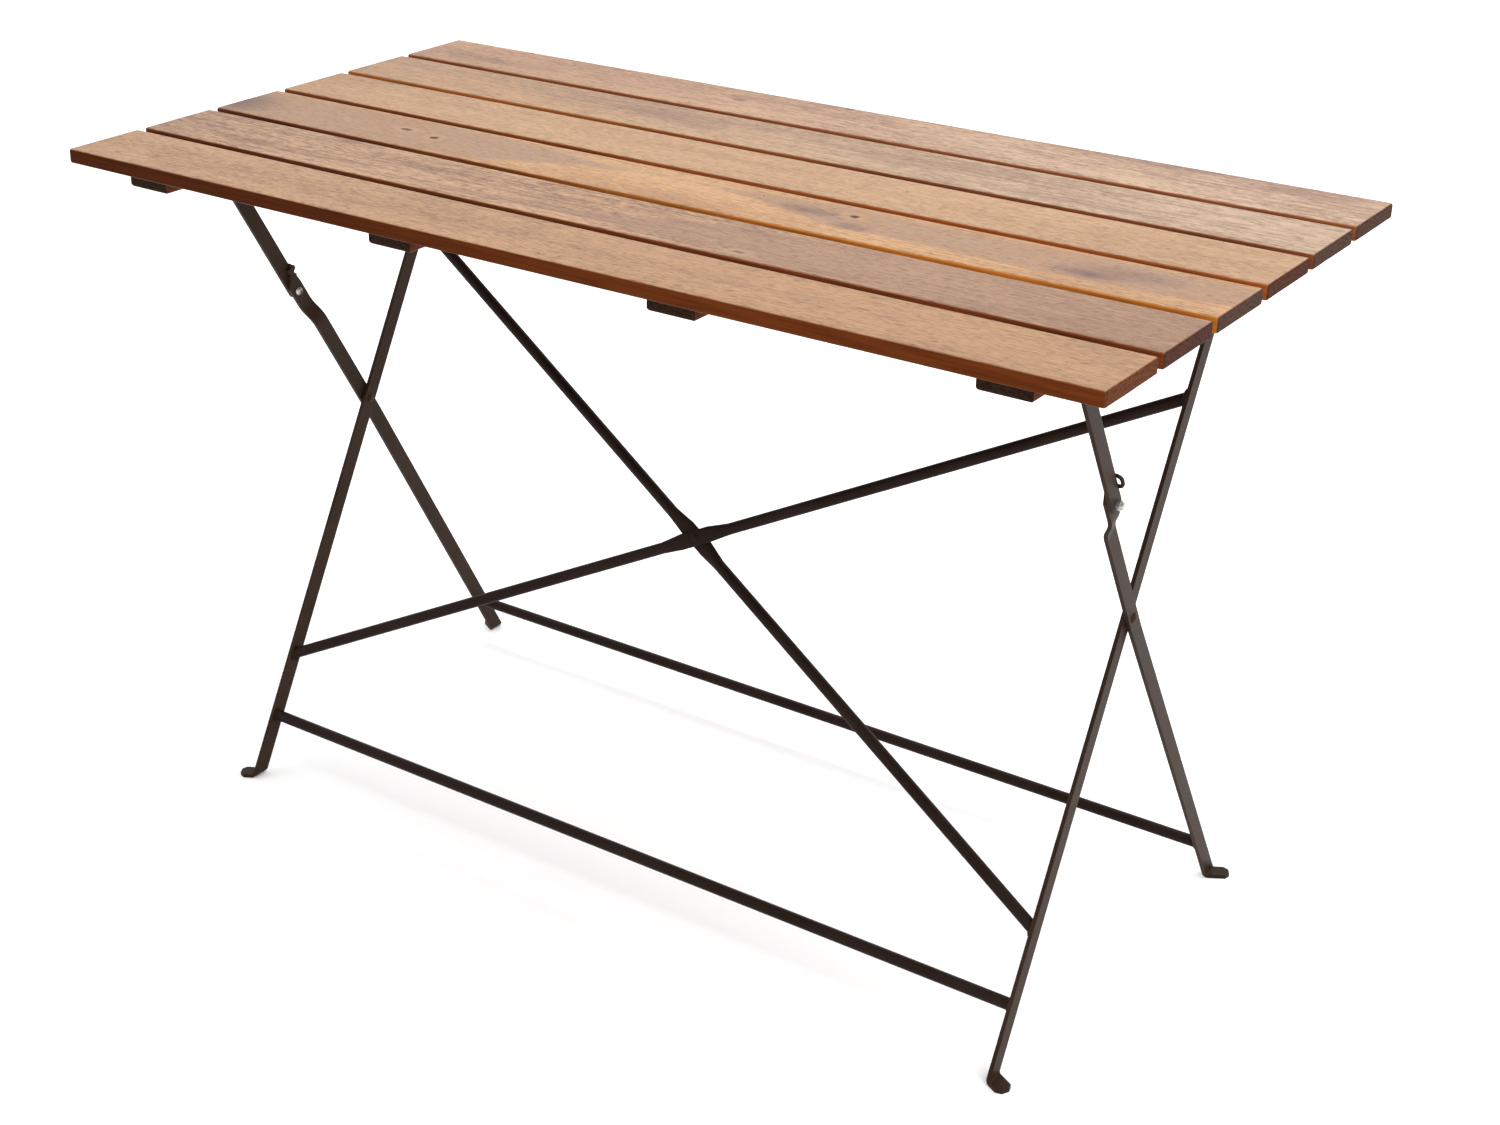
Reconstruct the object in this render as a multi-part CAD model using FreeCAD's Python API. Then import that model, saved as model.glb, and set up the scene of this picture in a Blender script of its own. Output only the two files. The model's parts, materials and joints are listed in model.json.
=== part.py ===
import FreeCAD, Part
import math
import os

# Folding picnic table with a slatted wooden top on a flat-folding steel frame.
# Units are millimetres. X runs along the table, Y across it away from the front
# edge, Z up. The origin is on the floor below the centre of the top.

# ---- top ----
TOP_LENGTH = 1130.0
TOP_WIDTH = 600.0
TOP_HEIGHT = 730.0
SLAT_COUNT = 6
SLAT_GAP = 9.6
SLAT_WIDTH = (TOP_WIDTH - (SLAT_COUNT - 1) * SLAT_GAP) / SLAT_COUNT
SLAT_THICKNESS = 15.0
SLAT_EDGE_RADIUS = 2.2
BATTEN_COUNT = 4
BATTEN_PITCH = 315.0
BATTEN_WIDTH = 50.0
BATTEN_THICKNESS = 17.0
BATTEN_RECESS = 18.0
BATTEN_CORNER_RADIUS = 4.0
SLAT_UNDERSIDE = TOP_HEIGHT - SLAT_THICKNESS
BATTEN_UNDERSIDE = SLAT_UNDERSIDE - BATTEN_THICKNESS
BATTEN_LENGTH = TOP_WIDTH - 2 * BATTEN_RECESS

# ---- wood screws ----
SLAT_SCREW_SPREAD = 20.0
SLAT_SCREW_LENGTH = 26.0
SLAT_SCREW_DIAMETER = 3.6
SLAT_SCREW_HEAD_DIAMETER = 7.0
SLAT_SCREW_HEAD_DEPTH = 2.2
BRACKET_SCREW_DIAMETER = 3.8
BRACKET_SCREW_LENGTH = 12.0
BRACKET_SCREW_HEAD_DIAMETER = 7.0
BRACKET_SCREW_HEAD_HEIGHT = 2.2

# ---- fold geometry, in the plane across the table ----
PIVOT_SPACING = 336.0        # between the two pivots under the top, and from the far one to the crossing
PIVOT_DROP = 11.5            # pivots below the battens
FOLD_ANGLE = math.radians(61.8)      # inner legs against the top when the table stands
PIVOT_Z = BATTEN_UNDERSIDE - PIVOT_DROP
FAR_PIVOT = FreeCAD.Vector(0, PIVOT_SPACING / 2, PIVOT_Z)
NEAR_PIVOT = FreeCAD.Vector(0, -PIVOT_SPACING / 2, PIVOT_Z)
CROSSING = FAR_PIVOT - PIVOT_SPACING * FreeCAD.Vector(0, math.cos(FOLD_ANGLE), math.sin(FOLD_ANGLE))
KNUCKLE = (NEAR_PIVOT + CROSSING) * 0.5
INNER_LEAN = math.pi / 2 - FOLD_ANGLE            # from vertical, top leaning to the far side
OUTER_LEAN = -FOLD_ANGLE / 2                     # from vertical, top leaning to the near side
LINK_LENGTH = PIVOT_SPACING * math.sin(FOLD_ANGLE / 2)

# ---- flat bars: layers from the table's centre outward, as X positions of their middles ----
BAR_WIDTH = 17.0
BAR_THICKNESS = 4.0
INNER_LEG_X = 464.5
WASHER_THICKNESS = 1.0
RUNNING_GAP = 0.1
OUTER_LEG_X = INNER_LEG_X + BAR_THICKNESS + WASHER_THICKNESS + RUNNING_GAP
STRUT_X = 482.5
KNUCKLE_GAP = 0.3
OUTER_LEG_TOP_X = STRUT_X - BAR_THICKNESS - KNUCKLE_GAP
OUTER_FOOT_X = 481.9
LEG_BEND_BELOW_CROSSING = 15.0

# ---- feet ----
FOOT_BEND_RADIUS = 4.0
FOOT_BEND_STEPS = 6
FOOT_LENGTH = 17.0
FOOT_CHAMFER = 4.5

# ---- joggle and stop hook at the top of the outer legs, measured along the leg from the knuckle ----
JOGGLE_START = -48.0
JOGGLE_END = -15.0
TONGUE_SHOULDER = 8.0        # the tongue narrows from here
TONGUE_NECK = 23.0           # to here
TONGUE_TOP = 29.3
TONGUE_NECK_WIDTH = 5.6
TONGUE_DIP = 1.6             # how far the tongue's inner edge leans in
TONGUE_CORNER_RADIUS = 1.0
HOOK_CLEARANCE = 0.3         # between the hook and the strut's edge
HOOK_STRIP = 2.6             # the hook's strip is as thick as it is wide
HOOK_CENTRE_OUTWARD = 5.4
HOOK_CENTRE_ALONG = 23.0
HOOK_RADIUS = 5.0
HOOK_RISE_SWEEP = 150.0      # the bend from the tab over to the outer run
HOOK_RUN = 4.4               # the straight outer run
HOOK_RETURN_SWEEP = 120.0    # the bend back towards the strut

# ---- round bars ----
ROD_DIAMETER = 12.0
INNER_STRETCHER_HEIGHT = 63.0
OUTER_STRETCHER_HEIGHT = 51.0
BRACE_LOW = 126.0
BRACE_HIGH = 574.0
BRACE_FLAT_HALF_LENGTH = 16.0
BRACE_TAPER_LENGTH = 24.0
BRACE_FLAT_HALF_WIDTH = 8.6
BRACE_FLAT_HALF_THICKNESS = 2.3
BRACE_OFFSET = 2.35
BRACE_RIVET_REACH = BRACE_OFFSET + BRACE_FLAT_HALF_THICKNESS
INNER_FRAME_NORMAL = FreeCAD.Vector(0, math.cos(INNER_LEAN), -math.sin(INNER_LEAN))

# ---- hinge brackets, pins, rivets and bolts ----
PIN_DIAMETER = 6.0
PIN_CLEARANCE = 0.4
RIVET_HEAD_DIAMETER = 11.0
RIVET_HEAD_HEIGHT = 2.4
PIN_HEAD_DIAMETER = 10.0
PIN_HEAD_HEIGHT = 2.0
BRACE_RIVET_DIAMETER = 5.0
BRACE_RIVET_HEAD_DIAMETER = 9.0
WASHER_DIAMETER = 14.0
BRACKET_LENGTH = 44.0
BRACKET_WIDTH = 28.0
BRACKET_SHEET = 2.0
BRACKET_SIDE_GAP = 0.4
LUG_RADIUS = 8.0
BRACKET_SCREW_SPREAD = (9.0, 14.0)
KNUCKLE_HEAD_DIAMETER = 9.6
KNUCKLE_HEAD_HEIGHT = 3.3
KNUCKLE_SOCKET = 5.0
KNUCKLE_SOCKET_DEPTH = 2.6
NUT_ACROSS_FLATS = 8.4
NUT_HEIGHT = 4.0
NUT_COLLAR_DIAMETER = 7.2
NUT_COLLAR_HEIGHT = 1.4
BOLT_END = 0.8

X_AXIS = FreeCAD.Vector(1, 0, 0)
Y_AXIS = FreeCAD.Vector(0, 1, 0)
Z_AXIS = FreeCAD.Vector(0, 0, 1)
ORIGIN = FreeCAD.Vector(0, 0, 0)
MARGIN = 50.0                # what cutting shapes reach beyond the piece they cut
TOUCH = 0.1                  # tolerance when edges are picked by their place


def at_x(point, x):
    return FreeCAD.Vector(x, point.y, point.z)


def disc(diameter, x_from, x_to, centre):
    """A round solid along X, with its axis through centre."""
    return Part.makeCylinder(diameter / 2, x_to - x_from, at_x(centre, x_from), X_AXIS)


def dome_arc(x, height, radius, outward):
    """The outline of a low rivet head on the plane X = x, from its rim to its crown."""
    rim = FreeCAD.Vector(x, radius, 0)
    crown = FreeCAD.Vector(x + outward * height, 0, 0)
    sphere_radius = (radius ** 2 + height ** 2) / (2 * height)
    half_angle = math.asin(radius / sphere_radius) / 2
    centre_x = x + outward * (height - sphere_radius)
    middle = FreeCAD.Vector(centre_x + outward * sphere_radius * math.cos(half_angle),
                            sphere_radius * math.sin(half_angle), 0)
    return Part.Arc(rim, middle, crown).toShape()


def turned(edges, centre):
    """A solid of revolution about X from the edges of its outline, moved to centre."""
    face = Part.Face(Part.Wire(Part.__sortEdges__(edges)))
    solid = face.revolve(ORIGIN, X_AXIS, 360)
    solid.translate(at_x(centre, 0))
    return solid


def rivet(diameter, head_diameter, head_height, x_from, x_to, centre):
    """A shank along X with a domed head beyond each end."""
    start = FreeCAD.Vector(x_from - head_height, 0, 0)
    end = FreeCAD.Vector(x_to + head_height, 0, 0)
    steps = [(x_from, head_diameter / 2), (x_from, diameter / 2),
             (x_to, diameter / 2), (x_to, head_diameter / 2)]
    corners = [FreeCAD.Vector(x, y, 0) for x, y in steps]
    edges = [Part.makeLine(a, b) for a, b in zip(corners, corners[1:])]
    edges.append(dome_arc(x_from, head_height, head_diameter / 2, -1))
    edges.append(dome_arc(x_to, head_height, head_diameter / 2, 1))
    edges.append(Part.makeLine(start, end))
    return turned(edges, centre)


def button_head(diameter, height, x, centre):
    """A domed head that stands on the plane X = x and faces the table's centre."""
    foot = FreeCAD.Vector(x, 0, 0)
    edges = [Part.makeLine(foot, FreeCAD.Vector(x, diameter / 2, 0))]
    edges.append(dome_arc(x, height, diameter / 2, -1))
    edges.append(Part.makeLine(FreeCAD.Vector(x - height, 0, 0), foot))
    return turned(edges, centre)


def union(shapes):
    """One shape from overlapping or touching ones, with merged faces."""
    fused = shapes[0].multiFuse(shapes[1:]).removeSplitter()
    return fused.Solids[0] if len(fused.Solids) == 1 else fused


def largest(shape):
    return max(shape.Solids, key=lambda solid: solid.Volume)


def polygon_face(points):
    return Part.Face(Part.makePolygon(points + [points[0]]))


def mirrored(shape):
    return shape.mirror(ORIGIN, X_AXIS)


def point_at_height(pivot, lean, height):
    """The point at this height on a line through pivot that leans from vertical."""
    return FreeCAD.Vector(0, pivot.y + (height - pivot.z) * math.tan(lean), height)


# ---- top ----
def slat(index):
    near_edge = -TOP_WIDTH / 2 + index * (SLAT_WIDTH + SLAT_GAP)
    corner = FreeCAD.Vector(-TOP_LENGTH / 2, near_edge, SLAT_UNDERSIDE)
    board = Part.makeBox(TOP_LENGTH, SLAT_WIDTH, SLAT_THICKNESS, corner)
    return board.makeFillet(SLAT_EDGE_RADIUS, board.Edges)


def batten_x(index):
    return (index - (BATTEN_COUNT - 1) / 2) * BATTEN_PITCH


def batten(index):
    corner = FreeCAD.Vector(batten_x(index) - BATTEN_WIDTH / 2, -BATTEN_LENGTH / 2, BATTEN_UNDERSIDE)
    board = Part.makeBox(BATTEN_WIDTH, BATTEN_LENGTH, BATTEN_THICKNESS, corner)
    lower_edges = [edge for edge in board.Edges if edge.BoundBox.ZMax < SLAT_UNDERSIDE - TOUCH]
    return board.makeFillet(BATTEN_CORNER_RADIUS, lower_edges)


def slat_screws(index):
    """Two countersunk screws up through a batten into each slat."""
    screws = []
    for row in range(SLAT_COUNT):
        middle = -TOP_WIDTH / 2 + row * (SLAT_WIDTH + SLAT_GAP) + SLAT_WIDTH / 2
        for side in (-1, 1):
            foot = FreeCAD.Vector(batten_x(index), middle + side * SLAT_SCREW_SPREAD, BATTEN_UNDERSIDE)
            head = Part.makeCone(SLAT_SCREW_HEAD_DIAMETER / 2, SLAT_SCREW_DIAMETER / 2,
                                 SLAT_SCREW_HEAD_DEPTH, foot)
            shank = Part.makeCylinder(SLAT_SCREW_DIAMETER / 2, SLAT_SCREW_LENGTH, foot)
            screws.append(union([head, shank]))
    return screws


# ---- hinge brackets ----
def bracket(pivot, bar_x):
    """A sheet clevis under a batten: a screwed plate with two lugs beside the bar."""
    plate_corner = FreeCAD.Vector(bar_x - BRACKET_WIDTH / 2, pivot.y - BRACKET_LENGTH / 2,
                                  BATTEN_UNDERSIDE - BRACKET_SHEET)
    pieces = [Part.makeBox(BRACKET_WIDTH, BRACKET_LENGTH, BRACKET_SHEET, plate_corner)]
    inside = BAR_THICKNESS / 2 + BRACKET_SIDE_GAP
    for x_from in (bar_x - inside - BRACKET_SHEET, bar_x + inside):
        drop = Part.makeBox(BRACKET_SHEET, 2 * LUG_RADIUS, PIVOT_DROP,
                            FreeCAD.Vector(x_from, pivot.y - LUG_RADIUS, PIVOT_Z))
        pieces.append(drop)
        pieces.append(disc(2 * LUG_RADIUS, x_from, x_from + BRACKET_SHEET, pivot))
    return union(pieces)


def hinge_pin(pivot, bar_x):
    reach = BAR_THICKNESS / 2 + BRACKET_SIDE_GAP + BRACKET_SHEET
    return rivet(PIN_DIAMETER, PIN_HEAD_DIAMETER, PIN_HEAD_HEIGHT, bar_x - reach, bar_x + reach, pivot)


def bracket_screw_shanks(pivot, bar_x):
    shanks = []
    for side_x in (-1, 1):
        for side_y in (-1, 1):
            foot = FreeCAD.Vector(bar_x + side_x * BRACKET_SCREW_SPREAD[0],
                                  pivot.y + side_y * BRACKET_SCREW_SPREAD[1],
                                  BATTEN_UNDERSIDE - BRACKET_SHEET)
            shanks.append(Part.makeCylinder(BRACKET_SCREW_DIAMETER / 2, BRACKET_SCREW_LENGTH, foot))
    return shanks


def bracket_screws(pivot, bar_x):
    """Four pan-head screws up through a bracket plate into the batten."""
    screws = []
    lowest = BATTEN_UNDERSIDE - BRACKET_SHEET - BRACKET_SCREW_HEAD_HEIGHT
    for shank in bracket_screw_shanks(pivot, bar_x):
        foot = FreeCAD.Vector(shank.CenterOfMass.x, shank.CenterOfMass.y, lowest)
        head = Part.makeCylinder(BRACKET_SCREW_HEAD_DIAMETER / 2, BRACKET_SCREW_HEAD_HEIGHT, foot)
        rim = [edge for edge in head.Edges if edge.BoundBox.ZMax < lowest + TOUCH]
        screws.append(union([shank, head.makeFillet(BRACKET_SCREW_HEAD_HEIGHT / 2, rim)]))
    return screws


# ---- legs ----
def leg_section(x, y, z, tilt, half_width):
    """A bar's cross-section with its width along Y, its thickness turned from X by tilt."""
    across = FreeCAD.Vector(math.cos(tilt), 0, math.sin(tilt)) * (BAR_THICKNESS / 2)
    along = Y_AXIS * half_width
    centre = FreeCAD.Vector(x, y, z)
    corners = [centre - across - along, centre + across - along,
               centre + across + along, centre - across + along]
    return Part.makePolygon(corners + [corners[0]])


def leg_lower_part(lean, x_top, x_foot, z_top):
    """The bar from just below the crossing down to its foot, which is bent outward onto the floor."""
    half_width = BAR_WIDTH / 2 / math.cos(lean)
    shear = -math.tan(lean)
    bend_z = BAR_THICKNESS / 2 + FOOT_BEND_RADIUS
    bend_y = point_at_height(CROSSING, lean, bend_z).y
    sections = [leg_section(x_top, point_at_height(CROSSING, lean, z_top).y, z_top, 0, half_width)]
    for step in range(FOOT_BEND_STEPS + 1):
        turn = math.pi / 2 * step / FOOT_BEND_STEPS
        x = x_foot + FOOT_BEND_RADIUS * (1 - math.cos(turn))
        z = bend_z - FOOT_BEND_RADIUS * math.sin(turn)
        y = bend_y + FOOT_BEND_RADIUS * turn * shear
        sections.append(leg_section(x, y, z, turn, half_width))
    bar = Part.makeLoft(sections, True, True)
    root = FreeCAD.Vector(x_foot + FOOT_BEND_RADIUS,
                          bend_y + FOOT_BEND_RADIUS * math.pi / 2 * shear, 0)
    return union([bar, foot_plate(root, -lean, half_width)])


def foot_plate(root, turn, half_width):
    """The flat end of a leg on the floor, with its two outer corners cut off."""
    forward = FreeCAD.Vector(math.cos(turn), math.sin(turn), 0)
    sideways = FreeCAD.Vector(-math.sin(turn), math.cos(turn), 0)
    end = root + forward * FOOT_LENGTH
    shoulder = end - forward * FOOT_CHAMFER
    half = BAR_WIDTH / 2
    outline = [
        root - Y_AXIS * half_width,
        shoulder - sideways * half,
        end - sideways * (half - FOOT_CHAMFER),
        end + sideways * (half - FOOT_CHAMFER),
        shoulder + sideways * half,
        root + Y_AXIS * half_width,
    ]
    return polygon_face(outline).extrude(Z_AXIS * BAR_THICKNESS)


def above(shape, height):
    """The part of a shape above this height."""
    size = TOP_LENGTH * 2
    return shape.common(Part.makeBox(size, size, size, FreeCAD.Vector(-size / 2, -size / 2, height)))


def stand(shape, pivot, lean):
    """Move a shape from local axes (Z along the bar) to a bar that leans at pivot."""
    placed = shape.copy()
    placed.rotate(ORIGIN, X_AXIS, -math.degrees(lean))
    placed.translate(FreeCAD.Vector(0, pivot.y, pivot.z))
    return placed


def straight_bar(x, start, end):
    """A flat bar at X = x from start to end along local Z, rounded at its end."""
    corner = FreeCAD.Vector(x - BAR_THICKNESS / 2, -BAR_WIDTH / 2, start)
    bar = Part.makeBox(BAR_THICKNESS, BAR_WIDTH, end - start, corner)
    tip = disc(BAR_WIDTH, x - BAR_THICKNESS / 2, x + BAR_THICKNESS / 2, FreeCAD.Vector(0, 0, end))
    return union([bar, tip])


def hole(diameter, x, centre):
    return disc(diameter, x - MARGIN / 2, x + MARGIN / 2, centre)


def inner_leg():
    split = CROSSING.z - LEG_BEND_BELOW_CROSSING
    upper = stand(straight_bar(INNER_LEG_X, -MARGIN, PIVOT_SPACING), CROSSING, INNER_LEAN)
    lower = leg_lower_part(INNER_LEAN, INNER_LEG_X, INNER_LEG_X, split)
    leg = union([above(upper, split), lower])
    leg = leg.cut(hole(PIN_DIAMETER + PIN_CLEARANCE, INNER_LEG_X, FAR_PIVOT))
    return leg.cut(hole(PIN_DIAMETER, INNER_LEG_X, CROSSING))


def joggled_strip():
    """The outer leg above the crossing, seen edge-on: straight, then stepped outward to the strut."""
    half = BAR_THICKNESS / 2
    bend_from = LINK_LENGTH + JOGGLE_START
    bend_to = LINK_LENGTH + JOGGLE_END
    ease = (bend_to - bend_from) / 2
    top = LINK_LENGTH + TONGUE_SHOULDER

    def side(offset):
        low = OUTER_LEG_X + offset
        high = OUTER_LEG_TOP_X + offset
        places = [(low, -MARGIN), (low, bend_from), (low, bend_from + ease),
                  (high, bend_to - ease), (high, bend_to), (high, top)]
        return [FreeCAD.Vector(x, -BAR_WIDTH / 2, z) for x, z in places]

    def edges(points):
        curve = Part.BezierCurve()
        curve.setPoles(points[1:5])
        return [Part.makeLine(points[0], points[1]), curve.toShape(), Part.makeLine(points[4], points[5])]

    inner = side(-half)
    outer = side(half)
    outline = edges(inner) + [Part.makeLine(inner[-1], outer[-1])]
    outline += list(reversed(edges(outer))) + [Part.makeLine(outer[0], inner[0])]
    profile = Part.Face(Part.Wire(Part.__sortEdges__(outline)))
    return profile.extrude(Y_AXIS * BAR_WIDTH)


def tongue():
    """The narrow end of an outer leg, with a tab that reaches past the strut's inner edge."""
    half = BAR_WIDTH / 2
    dip = half - TONGUE_DIP
    neck = dip - TONGUE_NECK_WIDTH
    tab_edge = half + HOOK_CLEARANCE + HOOK_STRIP
    tab_start = TONGUE_TOP - HOOK_STRIP - TONGUE_DIP
    places = [(-half, 0), (-half, TONGUE_SHOULDER), (neck, TONGUE_NECK), (neck, TONGUE_TOP),
              (tab_edge, TONGUE_TOP), (tab_edge, tab_start), (dip, TONGUE_NECK),
              (half, TONGUE_SHOULDER), (half, 0)]
    inner_face = OUTER_LEG_TOP_X - BAR_THICKNESS / 2
    corners = [FreeCAD.Vector(inner_face, y, LINK_LENGTH + z) for y, z in places]
    plate = polygon_face(corners).extrude(X_AXIS * BAR_THICKNESS)
    lowest = LINK_LENGTH + TONGUE_SHOULDER + TOUCH
    corner_edges = [edge for edge in plate.Edges
                    if edge.BoundBox.XLength > BAR_THICKNESS - TOUCH and edge.BoundBox.ZMin > lowest]
    return plate.makeFillet(TONGUE_CORNER_RADIUS, corner_edges)


def stop_hook():
    """A strip that curls outward from the tab, beside the strut's inner edge, and back to the strut."""
    upper = FreeCAD.Vector(OUTER_LEG_TOP_X + HOOK_CENTRE_OUTWARD, BAR_WIDTH / 2 + HOOK_CLEARANCE,
                           LINK_LENGTH + HOOK_CENTRE_ALONG)
    lower = upper - Z_AXIS * HOOK_RUN
    across = X_AXIS * HOOK_STRIP
    along = Y_AXIS * HOOK_STRIP

    def section(centre):
        corner = centre + X_AXIS * (HOOK_RADIUS - HOOK_STRIP / 2)
        return polygon_face([corner, corner + across, corner + across + along, corner + along])

    rise = section(upper).revolve(upper, Y_AXIS, -HOOK_RISE_SWEEP)
    run = section(lower).extrude(Z_AXIS * HOOK_RUN)
    back = section(lower).revolve(lower, Y_AXIS, HOOK_RETURN_SWEEP)
    return union([rise, run, back])


def outer_leg():
    split = CROSSING.z - LEG_BEND_BELOW_CROSSING
    upper = stand(union([joggled_strip(), tongue(), stop_hook()]), CROSSING, OUTER_LEAN)
    lower = leg_lower_part(OUTER_LEAN, OUTER_LEG_X, OUTER_FOOT_X, split)
    leg = union([above(upper, split), lower])
    leg = leg.cut(hole(PIN_DIAMETER + PIN_CLEARANCE, OUTER_LEG_X, CROSSING))
    return leg.cut(hole(PIN_DIAMETER, OUTER_LEG_TOP_X, KNUCKLE))


def strut():
    bar = straight_bar(STRUT_X, LINK_LENGTH, 2 * LINK_LENGTH)
    lower_tip = disc(BAR_WIDTH, STRUT_X - BAR_THICKNESS / 2, STRUT_X + BAR_THICKNESS / 2,
                     FreeCAD.Vector(0, 0, LINK_LENGTH))
    body = stand(union([bar, lower_tip]), CROSSING, OUTER_LEAN)
    body = body.cut(hole(PIN_DIAMETER + PIN_CLEARANCE, STRUT_X, NEAR_PIVOT))
    return body.cut(hole(PIN_DIAMETER, STRUT_X, KNUCKLE))


# ---- crossing and knuckle fasteners ----
def cross_washer():
    face = INNER_LEG_X + BAR_THICKNESS / 2
    ring = disc(WASHER_DIAMETER, face, face + WASHER_THICKNESS, CROSSING)
    return ring.cut(hole(PIN_DIAMETER, face, CROSSING))


def cross_rivet():
    inner_face = INNER_LEG_X - BAR_THICKNESS / 2
    outer_face = OUTER_LEG_X + BAR_THICKNESS / 2 + RUNNING_GAP
    return rivet(PIN_DIAMETER, RIVET_HEAD_DIAMETER, RIVET_HEAD_HEIGHT, inner_face, outer_face, CROSSING)


def hexagon(across_flats, x_from, x_to, centre):
    radius = across_flats / math.sqrt(3)
    corners = []
    for index in range(6):
        angle = math.radians(60 * index)
        spoke = FreeCAD.Vector(0, math.cos(angle), math.sin(angle)) * radius
        corners.append(at_x(centre, x_from) + spoke)
    return polygon_face(corners).extrude(X_AXIS * (x_to - x_from))


def knuckle_bolt():
    """The bolt's head and the length of its shank inside the outer leg."""
    face = OUTER_LEG_TOP_X - BAR_THICKNESS / 2
    head = button_head(KNUCKLE_HEAD_DIAMETER, KNUCKLE_HEAD_HEIGHT, face, KNUCKLE)
    socket = hexagon(KNUCKLE_SOCKET, face - KNUCKLE_HEAD_HEIGHT - TOUCH,
                     face - KNUCKLE_HEAD_HEIGHT + KNUCKLE_SOCKET_DEPTH, KNUCKLE)
    shank = disc(PIN_DIAMETER, face, face + BAR_THICKNESS, KNUCKLE)
    return union([head.cut(socket), shank])


def knuckle_nut():
    """The nut with its round collar, and the bolt's end inside the strut."""
    inner_face = STRUT_X - BAR_THICKNESS / 2
    outer_face = STRUT_X + BAR_THICKNESS / 2
    collar_face = outer_face + NUT_HEIGHT
    end = collar_face + NUT_COLLAR_HEIGHT
    return union([
        disc(PIN_DIAMETER, inner_face, end + BOLT_END, KNUCKLE),
        hexagon(NUT_ACROSS_FLATS, outer_face, collar_face, KNUCKLE),
        disc(NUT_COLLAR_DIAMETER, collar_face, end, KNUCKLE),
    ])


# ---- round bars ----
def stretcher(lean, height, leg_x, legs):
    """A round bar between two legs, ending flush on their inner faces."""
    centre = point_at_height(CROSSING, lean, height)
    rod = disc(ROD_DIAMETER, -leg_x, leg_x, centre)
    for leg in legs:
        rod = rod.cut(leg)
    return largest(rod)


def brace(rise, legs):
    """A round brace, flattened at the middle where it passes the other one."""
    low = at_x(point_at_height(CROSSING, INNER_LEAN, BRACE_LOW), -rise * INNER_LEG_X)
    high = at_x(point_at_height(CROSSING, INNER_LEAN, BRACE_HIGH), rise * INNER_LEG_X)
    direction = (high - low).normalize()
    half_length = (high - low).Length / 2
    offset = FreeCAD.Vector(0, -rise * BRACE_OFFSET, 0)
    radius = ROD_DIAMETER / 2
    round_from = BRACE_FLAT_HALF_LENGTH + BRACE_TAPER_LENGTH

    def circle(z):
        return Part.Wire(Part.makeCircle(radius, FreeCAD.Vector(0, 0, z)))

    def oval(z):
        shape = Part.Ellipse(ORIGIN, BRACE_FLAT_HALF_WIDTH, BRACE_FLAT_HALF_THICKNESS).toShape()
        shape.translate(offset + FreeCAD.Vector(0, 0, z))
        return Part.Wire(shape)

    flat = Part.Face(oval(-BRACE_FLAT_HALF_LENGTH)).extrude(Z_AXIS * 2 * BRACE_FLAT_HALF_LENGTH)
    pieces = [flat]
    for end in (-1, 1):
        taper = [circle(end * round_from), oval(end * BRACE_FLAT_HALF_LENGTH)]
        pieces.append(Part.makeLoft(taper, True, True))
        start = FreeCAD.Vector(0, 0, end * round_from)
        pieces.append(Part.makeCylinder(radius, half_length - round_from, start, Z_AXIS * end))
    shape = pieces[0].multiFuse(pieces[1:])
    shape.Placement = FreeCAD.Placement((low + high) * 0.5,
                                        FreeCAD.Rotation(INNER_FRAME_NORMAL.cross(direction),
                                                         INNER_FRAME_NORMAL, direction, "ZYX"))
    for leg in legs:
        shape = shape.cut(leg)
    return largest(shape).cut(brace_rivet_shank())


def brace_middle():
    return point_at_height(CROSSING, INNER_LEAN, (BRACE_LOW + BRACE_HIGH) / 2)


def brace_rivet_shank():
    foot = brace_middle() - INNER_FRAME_NORMAL * BRACE_RIVET_REACH
    return Part.makeCylinder(BRACE_RIVET_DIAMETER / 2, 2 * BRACE_RIVET_REACH, foot, INNER_FRAME_NORMAL)


def brace_rivet():
    """The rivet where the braces cross, with a thin round head on each side."""
    pieces = [brace_rivet_shank()]
    for side in (-1, 1):
        outward = INNER_FRAME_NORMAL * side
        pieces.append(Part.makeCone(BRACE_RIVET_HEAD_DIAMETER / 2, BRACE_RIVET_DIAMETER / 2,
                                    PIN_HEAD_HEIGHT, brace_middle() + outward * BRACE_RIVET_REACH, outward))
    return union(pieces)


# ---- assembly ----
def build_top():
    nodes = {}
    screws = [slat_screws(index) for index in range(BATTEN_COUNT)]
    every_screw = [screw for group in screws for screw in group]
    for index in range(SLAT_COUNT):
        nodes["slat_%d" % (index + 1)] = slat(index).cut(every_screw)
    hinges = build_hinges()
    plate_screws = [screw for name, shape in hinges.items() if "screws" in name for screw in shape.Solids]
    for index in range(BATTEN_COUNT):
        nodes["batten_%d" % (index + 1)] = batten(index).cut(screws[index] + plate_screws)
        nodes["slat_screws_%d" % (index + 1)] = Part.makeCompound(screws[index])
    nodes.update(hinges)
    return nodes


def build_hinges():
    nodes = {}
    for place, pivot, bar_x in (("near", NEAR_PIVOT, STRUT_X), ("far", FAR_PIVOT, INNER_LEG_X)):
        pin = hinge_pin(pivot, bar_x)
        screws = bracket_screws(pivot, bar_x)
        clip = bracket(pivot, bar_x).cut(bracket_screw_shanks(pivot, bar_x))
        clip = clip.cut(hole(PIN_DIAMETER, bar_x, pivot))
        for side, place_side in (("right", lambda shape: shape), ("left", mirrored)):
            name = "%s_%s" % (side, place)
            nodes["hinge_bracket_" + name] = place_side(clip)
            nodes["bracket_screws_" + name] = place_side(Part.makeCompound(screws))
            nodes["hinge_pin_" + name] = place_side(pin)
    return nodes


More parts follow.
